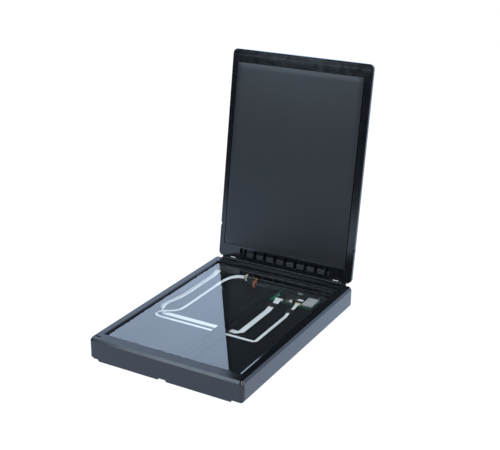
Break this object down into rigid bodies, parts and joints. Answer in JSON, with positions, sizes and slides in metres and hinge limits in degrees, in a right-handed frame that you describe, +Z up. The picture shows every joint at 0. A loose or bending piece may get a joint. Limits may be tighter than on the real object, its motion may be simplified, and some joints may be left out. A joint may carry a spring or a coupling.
{
  "type": "flatbed document scanner",
  "caption": "A4 flatbed document scanner with a glass bed, a travelling scan head inside and a hinged lid held open just past upright.",
  "frame": {"origin": "middle of the footprint of the scanner with its lid open, on the surface the feet stand on", "axes": "+X to the right seen from the front, +Y from the front edge towards the hinges, +Z up"},
  "size_m": [0.25, 0.407, 0.3776],
  "materials": {
    "housing_plastic": "fine spark texture, dark slate",
    "tray_plastic": "matte",
    "glass": "polished",
    "white_strip": "matte",
    "lid_gloss": "gloss black",
    "frame_plastic": "satin",
    "pad_sheet": "fine grained sheet",
    "pad_foam": "closed cell foam",
    "rubber": "matte",
    "steel": "plated",
    "brass": "machined",
    "acetal": "natural",
    "circuit_board": "solder resist",
    "flat_cable": "satin film",
    "cream_nylon": "moulded nylon",
    "dark_ceramic": "matte",
    "sensor_plastic": "matte"
  },
  "bodies": {
    "base": {"board_screw_1": "steel", "board_screw_2": "steel", "board_shield": "steel", "bottom_tray": "tray_plastic", "calibration_strip": "white_strip", "case_screw_front_left": "steel", "case_screw_front_right": "steel", "case_screw_middle_left": "steel", "case_screw_middle_right": "steel", "case_screw_rear_left": "steel", "case_screw_rear_right": "steel", "clock_crystal": "steel", "drive_rack": "sensor_plastic", "foot_front_left": "rubber", "foot_front_right": "rubber", "foot_rear_left": "rubber", "foot_rear_right": "rubber", "glass_tape": "dark_ceramic", "guide_rail": "tray_plastic", "head_cable_ferrite": "dark_ceramic", "head_cable_fixed": "flat_cable", "head_cable_loop": "flat_cable", "head_socket": "cream_nylon", "main_board": "circuit_board", "main_chip": "dark_ceramic", "motor_cable_ferrite": "dark_ceramic", "motor_cable_fixed": "flat_cable", "motor_cable_loop": "flat_cable", "motor_socket": "cream_nylon", "platen_glass": "glass", "smoothing_capacitor": "white_strip", "upper_housing": "housing_plastic", "usb_port": "steel"},
    "scan_head": {"head_carrier": "sensor_plastic", "sensor_housing": "sensor_plastic", "sensor_window": "glass", "rod_lens_array": "sensor_plastic", "light_guide": "glass", "sensor_board": "circuit_board", "pressure_spring_left": "steel", "pressure_spring_right": "steel", "glide_pad_left": "acetal", "glide_pad_right": "acetal", "head_cable_plug": "cream_nylon", "drive_motor": "steel", "motor_end_plate": "brass", "motor_connector": "cream_nylon", "gear_shaft": "steel"},
    "drive_gear": {"drive_gear": "acetal"},
    "motor_rotor": {"motor_pinion": "brass"},
    "hinge_posts": {"hinge_post_left": "frame_plastic", "hinge_post_right": "frame_plastic", "hinge_pin_left": "steel", "hinge_pin_right": "steel"},
    "lid": {"lid_cover": "lid_gloss", "lid_frame": "frame_plastic", "pad_foam": "pad_foam", "document_pad": "pad_sheet"}
  },
  "joints": [
    {"name": "head_travel", "type": "slide", "parent": "base", "child": "scan_head", "axis": [0, -1, 0], "range_m": [0, 0.302], "deforming": ["head_cable_loop", "motor_cable_loop"]},
    {"name": "gear_spin", "type": "hinge", "parent": "scan_head", "child": "drive_gear", "pos_m": [-0.02, 0.10798, 0.0165], "axis": [1, 0, 0], "range_deg": [0, 4327]},
    {"name": "motor_spin", "type": "hinge", "parent": "scan_head", "child": "motor_rotor", "pos_m": [-0.0325, 0.11308, 0.0224], "axis": [1, 0, 0], "range_deg": [-9734, 0]},
    {"name": "hinge_lift", "type": "slide", "parent": "base", "child": "hinge_posts", "axis": [0, 0, 1], "range_m": [0, 0.01]},
    {"name": "lid_hinge", "type": "hinge", "parent": "hinge_posts", "child": "lid", "pos_m": [0, 0.14228, 0.03526], "axis": [1, 0, 0], "range_deg": [0, 98.05]}
  ],
  "couplings": [
    {"joint": "gear_spin", "follows": "head_travel", "rad_per_m": 250},
    {"joint": "motor_spin", "follows": "head_travel", "rad_per_m": -562.5}
  ]
}
